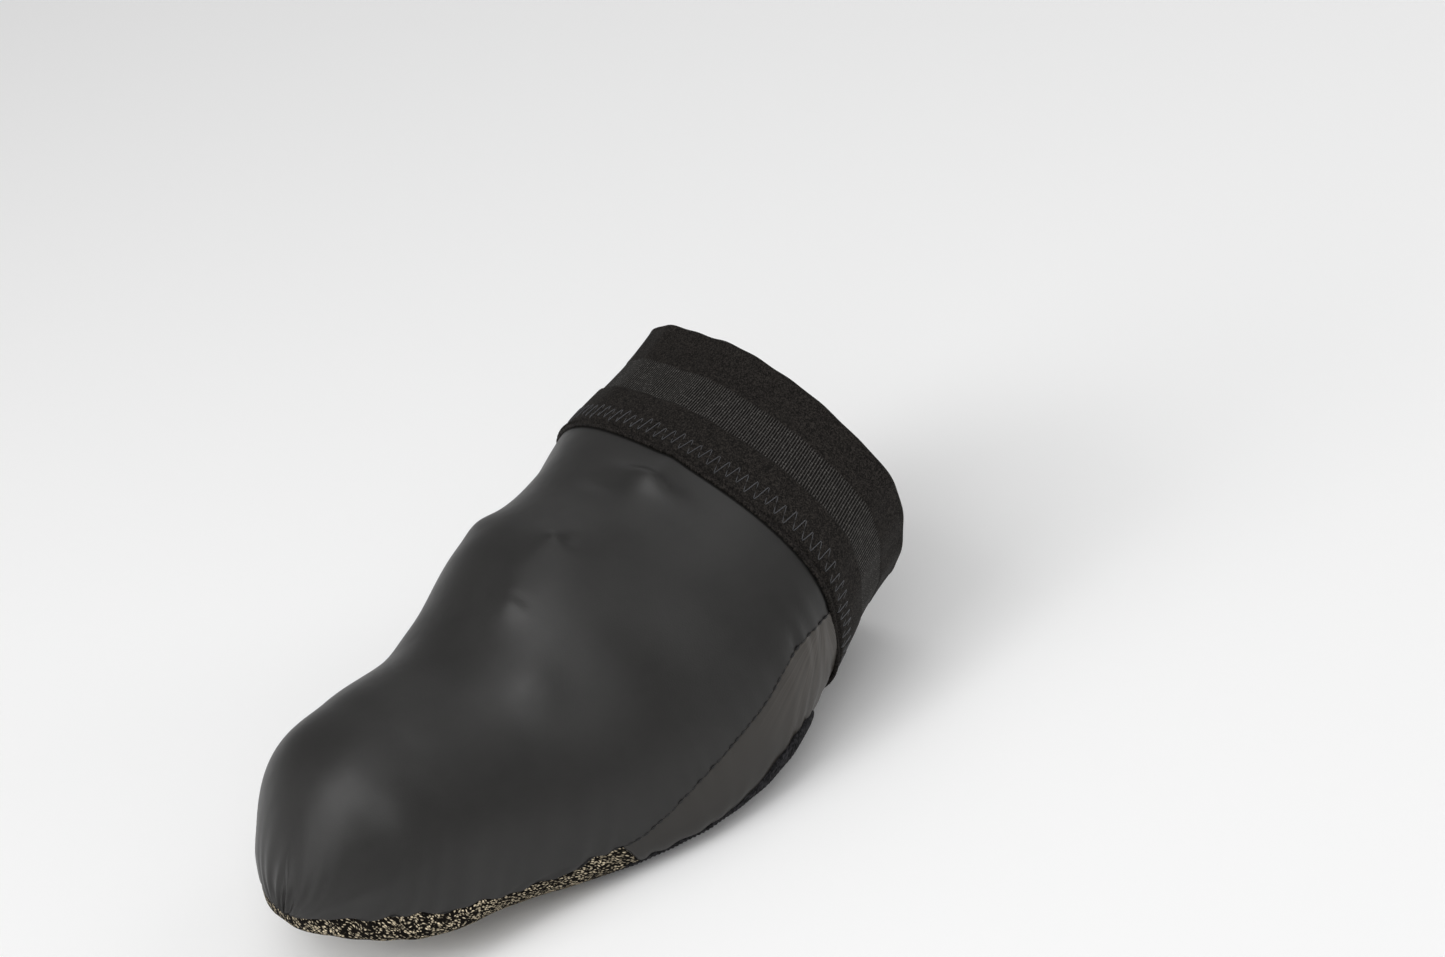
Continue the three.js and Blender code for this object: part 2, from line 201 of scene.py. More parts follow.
def seam_edge(side, lift, start, end, shares):
    """The side seam on one side, raised by lift."""
    y = np.linspace(start, end, SEAM_POINTS)
    return evenly(y, turn_at(y, seam_height(y) + lift, side), shares)


def close_ends(count, k=0.85):
    """Shares from 0 to 1 that crowd towards both ends: t less a sine wave of it."""
    t = np.linspace(0, 1, count)
    return (t - k * np.sin(2 * np.pi * t) / (2 * np.pi))[None, :]


def between(start, end, share):
    """Rows that run from the places of one edge to those of the other, by shares of the way."""
    return start[:, None] * (1 - share) + end[:, None] * share


def turned_in(distance):
    """How deep an edge that is turned in lies, at a distance from it: a quarter circle."""
    d = np.clip(distance, 0, TURN_RADIUS)
    return TURN_RADIUS - np.sqrt(TURN_RADIUS**2 - (TURN_RADIUS - d) ** 2)


def run_lengths(points):
    """Surface lengths in mm along both directions of a grid, which lay its cloth pattern."""
    across = np.linalg.norm(np.diff(points, axis=-2), axis=-1)
    back = np.linalg.norm(np.diff(points, axis=-3), axis=-1)
    u = np.concatenate([np.zeros_like(across[..., :1]), np.cumsum(across, -1)], -1)
    v = np.concatenate([np.zeros_like(back[..., :1, :]), np.cumsum(back, -2)], -2)
    return np.stack([u - u[..., -1:] / 2, v], -1)


def sewn_piece(name, grids, finishes, slot, *nodes):
    """One mesh from grids of (points in mm, pattern lengths in mm or None, finish number), joined where
    they meet. Rows and columns run so that faces point outwards."""
    points, corners, pattern, numbers = [], [], [], []
    start = 0
    for grid, lengths, number in grids:
        grid = grid.reshape((-1,) + grid.shape[-3:])
        ids = start + np.arange(grid[..., 0].size).reshape(grid.shape[:-1])
        start += ids.size
        quads = [ids[:, :-1, :-1], ids[:, 1:, :-1], ids[:, 1:, 1:], ids[:, :-1, 1:]]
        corners.append(np.stack(quads, -1).reshape(-1, 4))
        points.append(grid.reshape(-1, 3))
        pattern.append(np.zeros((ids.size, 2)) if lengths is None else lengths.reshape(-1, 2))
        numbers.append(np.full(len(corners[-1]), number))
    points, corners, pattern = np.concatenate(points), np.concatenate(corners), np.concatenate(pattern)
    mesh = bpy.data.meshes.new(name)
    mesh.from_pydata(points * METRES, [], corners)
    mesh.polygons.foreach_set("material_index", np.concatenate(numbers))
    mesh.uv_layers.new(name="cloth").data.foreach_set("uv", pattern[corners].ravel())
    joined = bmesh.new()
    joined.from_mesh(mesh)
    bmesh.ops.remove_doubles(joined, verts=joined.verts, dist=MERGE)
    joined.to_mesh(mesh)
    joined.free()
    mesh.shade_smooth()
    piece = bpy.data.objects.new(name, mesh)
    bpy.context.scene.collection.objects.link(piece)
    for made in finishes:
        mesh.materials.append(made)
    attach(piece, "root")
    if nodes:
        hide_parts(*nodes)
    return piece


def cloth_grids(y, turn, relief, wall):
    """Outer face, inner face and four rims of a cloth of that wall, raised by relief outside."""
    outside = surface(y, turn, -relief)
    inside = surface(y, turn, wall - relief)
    lengths = run_lengths(outside)
    grids = [(outside, lengths, 0), (inside[:, ::-1], lengths[:, ::-1], 1)]
    for a, b in [
        (inside[0], outside[0]), (outside[-1], inside[-1]),
        (outside[:, 0], inside[:, 0]), (inside[:, -1], outside[:, -1]),
    ]:
        grids.append((np.stack([a, b]), None, 1))
    return grids


def finish(name, colour, roughness, **shader):
    """A material whose shader has that colour, roughness and other values on its own sockets."""
    made = bpy.data.materials.new(name)
    made.use_nodes = True
    sockets = made.node_tree.nodes["Principled BSDF"].inputs
    sockets["Base Color"].default_value = (*colour, 1)
    sockets["Roughness"].default_value = roughness
    for socket, value in shader.items():
        sockets[socket.replace("_", " ")].default_value = value
    return made


def add(made, kind, inputs=(), **settings):
    """Adds a node to a material, joins or sets its inputs by name or number, and returns its outputs."""
    node = made.node_tree.nodes.new("ShaderNode" + kind)
    for key, value in settings.items():
        setattr(node, key, value)
    for key, value in dict(inputs).items():
        if isinstance(value, bpy.types.NodeSocket):
            made.node_tree.links.new(value, node.inputs[key])
        else:
            node.inputs[key].default_value = value
    return node.outputs


def into_shader(made, socket, output):
    """Joins an output to a socket of the material's shader."""
    made.node_tree.links.new(output, made.node_tree.nodes["Principled BSDF"].inputs[socket])


def noise(made, scale, detail=2.0, vector=None, roughness=0.5):
    """Noise of a scale per metre on Object coordinates, or on the given vector."""
    where = vector or add(made, "TexCoord")["Object"]
    sockets = {"Vector": where, "Scale": scale, "Detail": detail, "Roughness": roughness}
    return add(made, "TexNoise", sockets)["Fac"]


def spread(made, value, low, high, from_low=0.3, from_high=0.7, **settings):
    """The value's range brought to low..high."""
    sockets = {"Value": value, "From Min": from_low, "From Max": from_high, "To Min": low, "To Max": high}
    return add(made, "MapRange", sockets, **settings)["Result"]


def blend(made, share, first, second, kind="RGBA"):
    """From the first colour or number to the second, by a share from 0 to 1."""
    a, b, result = (6, 7, 2) if kind == "RGBA" else (2, 3, 0)
    return add(made, "Mix", {0: share, a: first, b: second}, data_type=kind)[result]


def shade(made, value, dark, light):
    """A colour between dark and light by a value from 0 to 1."""
    return blend(made, value, (*dark, 1), (*light, 1))


def times(made, a, b):
    """The product of two values."""
    return add(made, "Math", {0: a, 1: b}, operation="MULTIPLY")[0]


def bump(made, height, distance, strength=1.0, normal=None):
    """A bump of that depth in metres, on top of an earlier one."""
    sockets = {"Height": height, "Distance": distance, "Strength": strength}
    if normal:
        sockets["Normal"] = normal
    return add(made, "Bump", sockets)["Normal"]


def coated_cloth(name, colour, roughness, grain):
    """Coated stretch fabric: a matt gloss and a fine woven grain, whose depth is in metres."""
    made = finish(name, colour, roughness, Specular_IOR_Level=0.43)
    into_shader(made, "Roughness", spread(made, noise(made, 240, 3), roughness - 0.02, roughness + 0.02))
    weave = bump(made, noise(made, 2600, 2), grain, 0.35)
    into_shader(made, "Normal", bump(made, noise(made, 260, 2), 0.0002, 0.05, weave))
    return made


def brushed_back(name, colour):
    """The soft back of the fabric: short fleece, seen inside the cover."""
    made = finish(name, colour, 0.95, Sheen_Weight=0.25, Sheen_Roughness=0.6)
    into_shader(made, "Base Color", shade(made, noise(made, 700, 3), [c * 0.6 for c in colour], colour))
    into_shader(made, "Normal", bump(made, noise(made, 1500, 4, roughness=0.7), 0.0004, 0.6))
    return made


CREASES = [
    # at, turn, length and width in ball widths, degrees from straight back, rise in mm
    (0.730, 0.087, 0.058, 0.030, 80, 1.75), (0.764, 0.089, 0.060, 0.022, 2, 0.75),
    (0.745, 0.074, 0.040, 0.014, 80, -0.45), (0.742, 0.118, 0.016, 0.014, 0, -0.40),
    (0.690, 0.020, 0.030, 0.022, 80, -0.40), (0.568, 0.063, 0.016, 0.013, 20, 0.62),
    (0.577, 0.077, 0.018, 0.013, 20, -0.62), (0.457, 0.075, 0.027, 0.018, 75, 0.60),
    (0.468, 0.081, 0.018, 0.010, 75, -0.40), (0.508, 0.047, 0.085, 0.028, 5, 0.35),
    (0.590, 0.106, 0.330, 0.050, 0, 0.80), (0.402, 0.190, 0.055, 0.050, 0, 0.95),
    (0.610, 0.190, 0.160, 0.060, 12, -0.50), (0.100, 0.300, 0.060, 0.030, 20, -0.25),
    (0.065, 0.360, 0.050, 0.022, 10, 0.25), (0.205, -0.240, 0.130, 0.100, 0, -1.40),
    (0.566, -0.175, 0.045, 0.060, 20, 1.10), (0.395, -0.215, 0.060, 0.070, 0, 0.80),
    (0.720, -0.240, 0.080, 0.060, 0, -0.60), (0.046, -0.350, 0.030, 0.060, 0, 0.40),
    (0.060, 0.040, 0.120, 0.120, 0, 0.25), (0.732, 0.446, 0.022, 0.010, 95, -0.35),
    (0.790, 0.590, 0.060, 0.060, 0, -1.00),
]
GUARD_PUCKERS = (7.0, 0.36, 7.0)  # pitch, depth and reach in mm of the ripples that the guard gathers
SEAM_PUCKERS = (6.0, 0.2, 4.0)  # and of those along the side seams
PUCKER_TURN = 75.0  # length of one unit of turn along the guard's edge
PUCKER_CHANGE = 12.0  # length over which one kind gives way to the other
TIP_LENGTH, TIP_PUCKERS = 12.0, 0.45  # the ripples are that much deeper within this length of the toe tip
UPPER_DARK, UPPER_LIGHT = (0.0136, 0.0130, 0.0124), (0.0168, 0.0161, 0.0153)


def creases(y, turn):
    """The sum of soft long bells, one for each crease, along its own direction."""
    rise = np.zeros(np.broadcast(y, turn).shape)
    for at, crease_turn, length, width, swing, height in CREASES:
        back, aside = y - at * COVER_LENGTH, (past_ridge(turn) - crease_turn) * GIRTH_TURN
        c, s = math.cos(math.radians(swing)), math.sin(math.radians(swing))
        ahead, across = back * c + aside * s, aside * c - back * s
        rise += height * np.exp(-(ahead / (length * BALL_WIDTH)) ** 2 - (across / (width * BALL_WIDTH)) ** 2)
    return rise


def puckers(run, height, pitch, depth, reach):
    """Ripples that a seam gathers: uneven waves along it, which fade with the height above it."""
    wave = np.sin(2 * np.pi * run / pitch + 1.3 * np.sin(run / pitch * 1.7))
    strength = 0.6 + 0.4 * np.sin(run / pitch * 0.9 + 1)
    return depth * wave * strength * np.exp(-np.maximum(height, 0) / reach)


corner = CUFF_FRONT + CUFF_BOW - SEAM_GAP
guard_shares, seam_shares = np.linspace(0, 1, GUARD_ROWS), np.linspace(0, 1, SEAM_ROWS)[1:]
upper_edges = []
for side in (1, -1):
    front = guard_edge(side, SEAM_GAP / 2, GUARD_LENGTH, guard_shares)
    rear = seam_edge(side, SEAM_GAP / 2, GUARD_LENGTH, corner, seam_shares)
    upper_edges.append([np.r_[front[k], rear[k]] for k in (0, 1)])
(inner_y, inner_turn), (outer_y, outer_turn) = upper_edges
upper_share = close_ends(UPPER_COLUMNS)
upper_turn = between(inner_turn, outer_turn, upper_share)
upper_y = between(inner_y, outer_y, upper_share)
to_cuff = np.r_[np.zeros(GUARD_ROWS), seam_shares][:, None]
upper_y = upper_y - CUFF_BOW * to_cuff**2 * (3 - 2 * to_cuff) * np.cos(np.pi * upper_turn) ** 2
upper_height = surface(upper_y, upper_turn, 0)[..., 2]
above_guard = upper_height - guard_height(upper_y)
above_seam = upper_height - seam_height(np.maximum(upper_y, GUARD_LENGTH))
above_edge = np.where(upper_y < GUARD_LENGTH, above_guard, above_seam)
edge_run = np.abs(upper_turn) * PUCKER_TURN + upper_y
on_guard = np.clip((GUARD_LENGTH + PUCKER_CHANGE / 2 - upper_y) / PUCKER_CHANGE, 0, 1)
deeper = 1 + TIP_PUCKERS * np.exp(-((upper_y / TIP_LENGTH) ** 2))
upper_relief = creases(upper_y, upper_turn)
upper_relief += on_guard * deeper * puckers(edge_run, above_edge - 1, *GUARD_PUCKERS)
upper_relief += (1 - on_guard) * puckers(upper_y, above_edge, *SEAM_PUCKERS)
upper_relief -= turned_in(above_edge)
upper_cloth = coated_cloth("coated_fabric_black", UPPER_LIGHT, 0.43, 0.00006)
patches = spread(upper_cloth, noise(upper_cloth, 90, 3), 0, 1)
into_shader(upper_cloth, "Base Color", shade(upper_cloth, patches, UPPER_DARK, UPPER_LIGHT))
fleece = brushed_back("brushed_back_black", (0.016, 0.016, 0.017))
upper_grids = cloth_grids(upper_y, upper_turn, upper_relief, UPPER_WALL)
sewn_piece("upper_panel", upper_grids, [upper_cloth, fleece], "coated_fabric", "upper")


# Side panel: one U shaped piece of thinner, smoother coated fabric. It is sewn to the main panel low
# on each side, wraps the sole's edges and closes the underside behind the cleat opening.
OPENING_START, OPENING_END = 64.0, 126.0
OPENING_MIDDLE, OPENING_HALF = (OPENING_START + OPENING_END) / 2, (OPENING_END - OPENING_START) / 2
OPENING_SIDE, OPENING_POWER = 0.27, 4.0
EDGE_TURN = 0.55 * BALL_WIDTH  # surface length of one unit of turn at the sole's edge
BINDING_WIDTH = 5.0
GUARD_RAKE = 3.0
SIDE_WALL = 1.0
SIDE_SHARE = 0.3  # of the panel's length that runs along each seam
SIDE_ROWS, SIDE_COLUMNS, SIDE_CROWD = 300, 64, 0.7
BINDING_PUCKERS = (6.5, 0.3, 9.0)  # pitch, depth and reach in mm
SIDE_PUCKERS = (6.0, 0.16, 4.0)
FOLD_PITCH, FOLD_DEPTH, FOLD_SLANT = 3.3, 0.22, 0.2
FOLD_MIDDLE, FOLD_SPREAD, FOLD_REACH = 134.0, 6.0, 14.0
CLEAR = 1.5  # height above the floor under which no cloth stands proud
FAN_CORNER = (0.050, 0.034)  # y and z in metres, from where the painted highlight streaks fan out
FAN_NEAR, FAN_FAR = 0.006, 0.034
# The first colour is a painted shade for the cloth near the floor, the second the cloth's own colour, the
# third a painted highlight for the streaks.
SIDE_PAINTED_SHADE, SIDE_LIGHT, STREAK_PAINTED_HIGHLIGHT = (0.014, 0.0124, 0.0106), (0.0275, 0.0242, 0.0205), (0.08, 0.07, 0.061)


def opening_edge(angle, grow):
    """The cleat opening's edge, grown outwards: a rounded square, angle 0 in front, positive inside."""
    across, ahead = rounded_square(angle, OPENING_POWER)
    return OPENING_MIDDLE - (OPENING_HALF + grow) * ahead, 1 - (OPENING_SIDE + grow / EDGE_TURN) * across


def opening_angle(y, grow):
    """The angle at which the grown opening reaches a distance from the toe."""
    ahead = (OPENING_MIDDLE - y) / (OPENING_HALF + grow)
    return math.atan((ahead**-OPENING_POWER - 1) ** (1 / OPENING_POWER))


def cuff_bow(turn):
    """How much further back the cuff's edges lie on the sides: a squared sine."""
    return CUFF_BOW * np.sin(np.pi * turn) ** 2


def from_edges(points):
    """Surface length of each place of a grid from its row's start, and from its row's end."""
    steps = np.linalg.norm(np.diff(points, axis=1), axis=-1)
    run = np.c_[np.zeros(len(points)), np.cumsum(steps, 1)]
    return run, run[:, -1:] - run


def clear_of_floor(relief, points):
    """The relief, with nothing proud where the points are close to the floor."""
    return np.where(points[..., 2] < CLEAR, np.minimum(relief, 0), relief)


def side_cloth_with_painted_light(name):
    """Thinner coated fabric, with painted shade that makes it darker towards the floor under the sole,
    and painted highlights, pale streaks of lit folds that fan out from a corner near the cuff: noise over
    the angle round the corner, fading with the distance from it."""
    made = coated_cloth(name, SIDE_LIGHT, 0.38, 0.00004)
    place = add(made, "TexCoord")["Object"]
    # Painted highlights: pale streaks, standing in for light on folds, fan out from the corner and fade with
    # the distance from it.
    apart = add(made, "VectorMath", {0: place, 1: (0, *FAN_CORNER)}, operation="SUBTRACT")[0]
    apart = add(made, "VectorMath", {0: apart, 1: (0, 1, 1)}, operation="MULTIPLY")[0]
    parts = add(made, "SeparateXYZ", {0: apart})
    swing = add(made, "Math", {0: parts[1], 1: parts[2]}, operation="ARCTAN2")[0]
    streaks = noise(made, 14, 3, add(made, "CombineXYZ", {0: swing})[0], 0.65)
    distance = add(made, "VectorMath", {0: apart}, operation="LENGTH")["Value"]
    near = spread(made, distance, 1.0, 0.0, FAN_NEAR, FAN_FAR)
    amount = times(made, near, spread(made, streaks, 0.1, 1.0, 0.42, 0.68))
    # Painted shade: the colour darkens towards the floor, below 20 mm of height, where the panel turns under
    # the sole.
    height = add(made, "SeparateXYZ", {0: place})[2]
    plain = shade(made, spread(made, height, 0.0, 1.0, 0.001, 0.02), SIDE_PAINTED_SHADE, SIDE_LIGHT)
    into_shader(made, "Base Color", blend(made, amount, plain, (*STREAK_PAINTED_HIGHLIGHT, 1)))
    return made


side_way = np.linspace(0, 1, SIDE_ROWS)
side_start = GUARD_LENGTH + SEAM_GAP / 2
inner = seam_edge(1, -SEAM_GAP / 2, side_start, corner, np.clip(side_way / SIDE_SHARE, 0, 1))
outer = seam_edge(-1, -SEAM_GAP / 2, side_start, corner, np.clip((1 - side_way) / SIDE_SHARE, 0, 1))
bridge = np.clip((side_way - SIDE_SHARE) / (1 - 2 * SIDE_SHARE), 0, 1)
bridge_turn = inner[1] * (1 - bridge) + (outer[1] + 2) * bridge
is_seam = [side_way < SIDE_SHARE, side_way > 1 - SIDE_SHARE]
far_y = np.select(is_seam, [inner[0], outer[0]], CUFF_FRONT - SEAM_GAP + cuff_bow(bridge_turn))
far_turn = np.select(is_seam, [inner[1], outer[1] + 2], bridge_turn)
past_binding = BINDING_WIDTH + SEAM_GAP
first = opening_angle(side_start + GUARD_RAKE, past_binding)
near_y, near_turn = opening_edge(first + (2 * np.pi - 2 * first) * side_way, past_binding)
side_share = close_ends(SIDE_COLUMNS, SIDE_CROWD)
side_y, side_turn = between(near_y, far_y, side_share), between(near_turn, far_turn, side_share)
side_flat = surface(side_y, side_turn, 0)
from_binding, from_seam = from_edges(side_flat)
along_binding = run_along(side_flat[:, 0])[:, None]
folds = np.sin(2 * np.pi * (side_y + FOLD_SLANT * from_seam) / FOLD_PITCH)
folds *= FOLD_DEPTH * np.exp(-(((side_y - FOLD_MIDDLE) / FOLD_SPREAD) ** 2) - from_seam / FOLD_REACH)
side_relief = puckers(along_binding, from_binding, *BINDING_PUCKERS)
side_relief = side_relief + puckers(side_y, from_seam, *SIDE_PUCKERS) + folds
side_relief = clear_of_floor(side_relief - turned_in(np.minimum(from_seam, from_binding)), side_flat)
side_cloth = side_cloth_with_painted_light("side_fabric_black")
side_grids = cloth_grids(side_y, side_turn, side_relief, SIDE_WALL)
sewn_piece("side_panel", side_grids, [side_cloth, fleece], "side_fabric", "under_panel")


# Toe guard: hard wearing knit of black and tan yarns under the toe and up in front of it, where shoe
# and cover scrape the road. It is sewn to the main panel's turned edge and to the binding.
KNIT_WALL = 1.7
KNIT_ROWS, KNIT_COLUMNS, KNIT_CROWD = 340, 84, 0.7
KNIT_PUCKERS = (9.0, 0.3, 12.0)  # pitch, depth and reach in mm
KNIT_LUMPS = (0.12, 1.9, 1.7)  # height, and length for a radian along the top edge and down from it
LOOP_LENGTH, LOOP_WIDTH, LOOP_SLANT = 0.95, 0.34, 38
LOOP_BEND = 1.8  # how far the rows of loops wander, in mm
BLACK_SHARE = 0.36  # of the loops are black
KNIT_BLACK, KNIT_TAN = (0.004, 0.003, 0.002), (0.95, 0.81, 0.58)


def toe_map(y, turn):
    """A flat map of the toe with its tip in the middle: radius from y, angle from turn."""
    q = np.minimum(y / NOSE_LENGTH, 1)
    r = np.arccos((1 - q) ** (NOSE_POWER / 2)) + np.maximum(y / NOSE_LENGTH - 1, 0)
    return r * np.sin(np.pi * turn), r * np.cos(np.pi * turn)


def from_toe_map(a, b):
    """The place on the last of a point of the toe's flat map."""
    r = np.hypot(a, b)
    nose = 1 - np.cos(np.minimum(r, np.pi / 2)) ** (2 / NOSE_POWER)
    return NOSE_LENGTH * (nose + np.maximum(r - np.pi / 2, 0)), np.arctan2(a, b) / np.pi


def chance(made, cells):
    """A number from 0 to 1 for each cell of a pattern."""
    return add(made, "SeparateColor", {0: cells["Color"]})[0]


def knit_cloth(name):
    """Knit of two yarns: long slanted loops that lean one way and another, most of them tan."""
    made = finish(name, (0.05, 0.042, 0.03), 0.85, Specular_IOR_Level=0.1)
    lengths = add(made, "UVMap", uv_map="cloth")["UV"]
    wander = add(made, "TexNoise", {"Vector": lengths, "Scale": 0.3, "Detail": 1.0})["Color"]
    wander = add(made, "VectorMath", {0: wander, 1: (0.5, 0.5, 0.5)}, operation="SUBTRACT")[0]
    bends = {0: wander, 1: (LOOP_BEND, LOOP_BEND, 0), 2: lengths}
    bent = add(made, "VectorMath", bends, operation="MULTIPLY_ADD")[0]
    slant = {0: bent, "Angle": math.radians(LOOP_SLANT)}
    turned = add(made, "VectorRotate", slant, rotation_type="Z_AXIS")[0]
    sizes = {0: turned, 1: (1 / LOOP_LENGTH, 1 / LOOP_WIDTH, 0)}
    slim = add(made, "VectorMath", sizes, operation="MULTIPLY")[0]
    loops = add(made, "TexVoronoi", {"Vector": slim, "Scale": 1.0, "Randomness": 0.85})
    luck = chance(made, loops)
    loop = spread(made, loops["Distance"], 1.0, 0.0, 0.26, 0.62, interpolation_type="SMOOTHSTEP")
    is_tan = add(made, "Math", {0: luck, 1: BLACK_SHARE}, operation="GREATER_THAN")[0]
    tan = times(made, is_tan, spread(made, luck, 0.45, 1.0, BLACK_SHARE, 1.0))
    into_shader(made, "Base Color", shade(made, times(made, tan, loop), KNIT_BLACK, KNIT_TAN))
    loop_bump = bump(made, loop, 0.0003, 0.9)
    into_shader(made, "Normal", bump(made, noise(made, 3000, 3), 0.0001, 0.5, loop_bump))
    return made


knit_way = np.linspace(-1, 1, KNIT_ROWS + 1)[:, None]  # inner rear corner, toe tip, outer rear corner
knit_end = GUARD_LENGTH - SEAM_GAP / 2
tops = [guard_edge(side, -SEAM_GAP / 2, knit_end, np.abs(knit_way[:, 0])) for side in (1, -1)]
is_inner = knit_way[:, 0] < 0
top_y = np.where(is_inner, tops[0][0], tops[1][0])
top_turn = np.where(is_inner, tops[0][1], np.where(tops[1][1] < 0, tops[1][1] + 2, tops[1][1]))
under_angle = -knit_way[:, 0] * opening_angle(knit_end + GUARD_RAKE, past_binding)
under_y, under_turn = opening_edge(under_angle, past_binding)
knit_share = close_ends(KNIT_COLUMNS, KNIT_CROWD)
map_ends = zip(toe_map(top_y, top_turn), toe_map(under_y, under_turn))
past_y, past_turn = from_toe_map(*[between(a, b, knit_share) for a, b in map_ends])
past_turn = np.where((knit_way > 0) & (past_turn < 0), past_turn + 2, past_turn)
straight = knit_way**4
knit_y = past_y * (1 - straight) + between(top_y, under_y, knit_share) * straight
knit_turn = past_turn * (1 - straight) + between(top_turn, under_turn, knit_share) * straight
knit_flat = surface(knit_y, knit_turn, 0)
from_top, from_rear = from_edges(knit_flat)
along_top = run_along(knit_flat[:, 0])[:, None]
knit_relief = puckers(along_top, from_top, *KNIT_PUCKERS) - turned_in(np.minimum(from_top, from_rear))
lump, lump_run, lump_fall = KNIT_LUMPS
knit_relief += lump * np.sin(along_top / lump_run) * np.sin(from_top / lump_fall)
knit_grids = cloth_grids(knit_y, knit_turn, clear_of_floor(knit_relief, knit_flat), KNIT_WALL)
knit = knit_cloth("knit_black_and_tan")
sewn_piece("knit_toe_guard", knit_grids, [knit, fleece], "guard_knit", "toe_guard")


# Binding: a ribbed elastic tape folded over the raw edge round the cleat opening and sewn through. It
# pulls the fabric tight under the sole.
BINDING_WALL, BINDING_PROUD = 1.8, 0.4
BINDING_RIB, RIB_RISE = 1.15, 0.09
BINDING_WAVES = [(0.06, 31), (0.04, 17)]  # height and count of the tape's slow waves
BINDING_BULGE = 2.6  # how much wider the tape lies towards the rear of the opening
BULGE_MIDDLE, BULGE_SPREAD, BULGE_RISE = 112.0, 15.0, 0.3
TAPE_STEPS, TAPE_SIDES, TAPE_POWER = 1500, 22, 3.0
TAPE_GIRTH = 14.0  # length of the tape's pattern round its section
TAPE_DARK, TAPE_LIGHT, TAPE_FLECK = (0.003, 0.003, 0.0035), (0.032, 0.031, 0.034), 0.4
DASH = 0.62
ZONE_EDGE = 0.2


def elastic_cloth(name, dark, light, fleck, rib=None, zone=(), rib_light=None):
    """Woven elastic: short yarns of uneven brightness, each a fleck. In a zone of the second length,
    bright ribs run across the band, one each rib, broken into dashes by the crossing yarns."""
    made = finish(name, light, 0.7, Specular_IOR_Level=0.1)
    lengths = add(made, "UVMap", uv_map="cloth")["UV"]
    yarns = add(made, "TexVoronoi", {"Vector": lengths, "Scale": 1 / fleck})
    height = add(made, "Math", {0: chance(made, yarns), 1: 1.6}, operation="POWER")[0]
    colour = shade(made, height, dark, light)
    if rib:
        parts = add(made, "SeparateXYZ", {0: lengths})
        wave = add(made, "Math", {0: times(made, parts[0], 2 * math.pi / rib)}, operation="COSINE")[0]
        line = spread(made, wave, 0.0, 0.62, 0.2, 1.0)
        sizes = {0: lengths, 1: (1 / rib, 1 / DASH, 0), 2: (0.5, 0, 0)}
        scaled = add(made, "VectorMath", sizes, operation="MULTIPLY_ADD")[0]
        dashes = add(made, "TexVoronoi", {"Vector": scaled, "Scale": 1.0, "Randomness": 0.4})
        dash = spread(made, dashes["Distance"], 1.0, 0.0, 0.15, 0.42)
        luck = times(made, chance(made, dashes), 0.8)
        ribbed = add(made, "Math", {0: dash, 1: luck, 2: line}, operation="MULTIPLY_ADD")[0]
        edges = []
        for edge, soft in zip(zone, (ZONE_EDGE, -ZONE_EDGE)):
            edges.append(spread(made, parts[1], 0.0, 1.0, edge - soft, edge + soft))
        inside = times(made, *edges)
        colour = blend(made, inside, colour, shade(made, ribbed, dark, rib_light))
        height = blend(made, inside, height, ribbed, "FLOAT")
    into_shader(made, "Base Color", colour)
    into_shader(made, "Normal", bump(made, height, 0.0002, 0.7))
    return made


tape_angles = np.linspace(0, 2 * np.pi, EDGE_POINTS)
tape_lengths = run_along(surface(*opening_edge(-tape_angles, BINDING_WIDTH / 2), 0))
tape_run = np.linspace(0, tape_lengths[-1], TAPE_STEPS + 1)[:, None]
tape_angle = -np.interp(tape_run, tape_lengths, tape_angles)
once_round = 2 * np.pi * tape_run / tape_lengths[-1]
across, up = rounded_square(np.linspace(0, 2 * np.pi, TAPE_SIDES + 1)[None, :], TAPE_POWER)
tape_rise = RIB_RISE * np.cos(once_round * round(tape_lengths[-1] / BINDING_RIB))
tape_rise += sum(height * np.sin(count * once_round) for height, count in BINDING_WAVES)
bulge = BINDING_BULGE * np.exp(-(((opening_edge(tape_angle, 0)[0] - BULGE_MIDDLE) / BULGE_SPREAD) ** 2))
tape_grow = BINDING_WIDTH / 2 * (1 + across) * (1 + bulge / BINDING_WIDTH)
tape_depth = BINDING_WALL / 2 * (1 - up) - BINDING_PROUD - tape_rise * np.clip(up, 0, 1)
tape_depth = tape_depth - bulge * BULGE_RISE * np.clip(up + 0.5, 0, 1)
binding = surface(*opening_edge(tape_angle, tape_grow), tape_depth)
tape_pattern = np.broadcast_arrays(tape_run, np.linspace(0, TAPE_GIRTH, TAPE_SIDES + 1)[None, :])
tape_grid = (binding[:, ::-1], np.stack(tape_pattern, -1)[:, ::-1], 0)
tape = elastic_cloth("binding_elastic_black", TAPE_DARK, TAPE_LIGHT, TAPE_FLECK)
sewn_piece("folded_binding", [tape_grid], [tape], "binding_elastic", "opening_binding")


# Cuff: a wide woven elastic with a rolled knurled front edge, a plain front zone, a ribbed middle and a
# plain rear zone. It holds the cover on the instep.
CUFF_WALL = 1.2
RIB_ZONE = (13.5, 23.0)
CUFF_RIBS, RIB_STEPS, CUFF_SIDES = 350, 4, 34
CUFF_DRAW, DRAW_TURN, DRAW_SPREAD = 2.3, 0.33, 0.17  # the rear edge is drawn forward on the inner side
CUFF_WAVES = [(0.25, 9), (0.15, 23)]  # height and count of the band's slow waves
WAVES_START, WAVES_REACH = 4.0, 10.0  # where behind the front edge they start, and how far they grow
KNURL, LIP_WAVE, LIP_WAVES = 0.14, 0.12, 117
LIP_MIDDLE, LIP_SPREAD = 0.3, 0.6
CUFF_DARK, CUFF_LIGHT, CUFF_FLECK = (0.003, 0.0024, 0.002), (0.031, 0.027, 0.024), 0.26
RIB_LIGHT = (0.1, 0.095, 0.089)
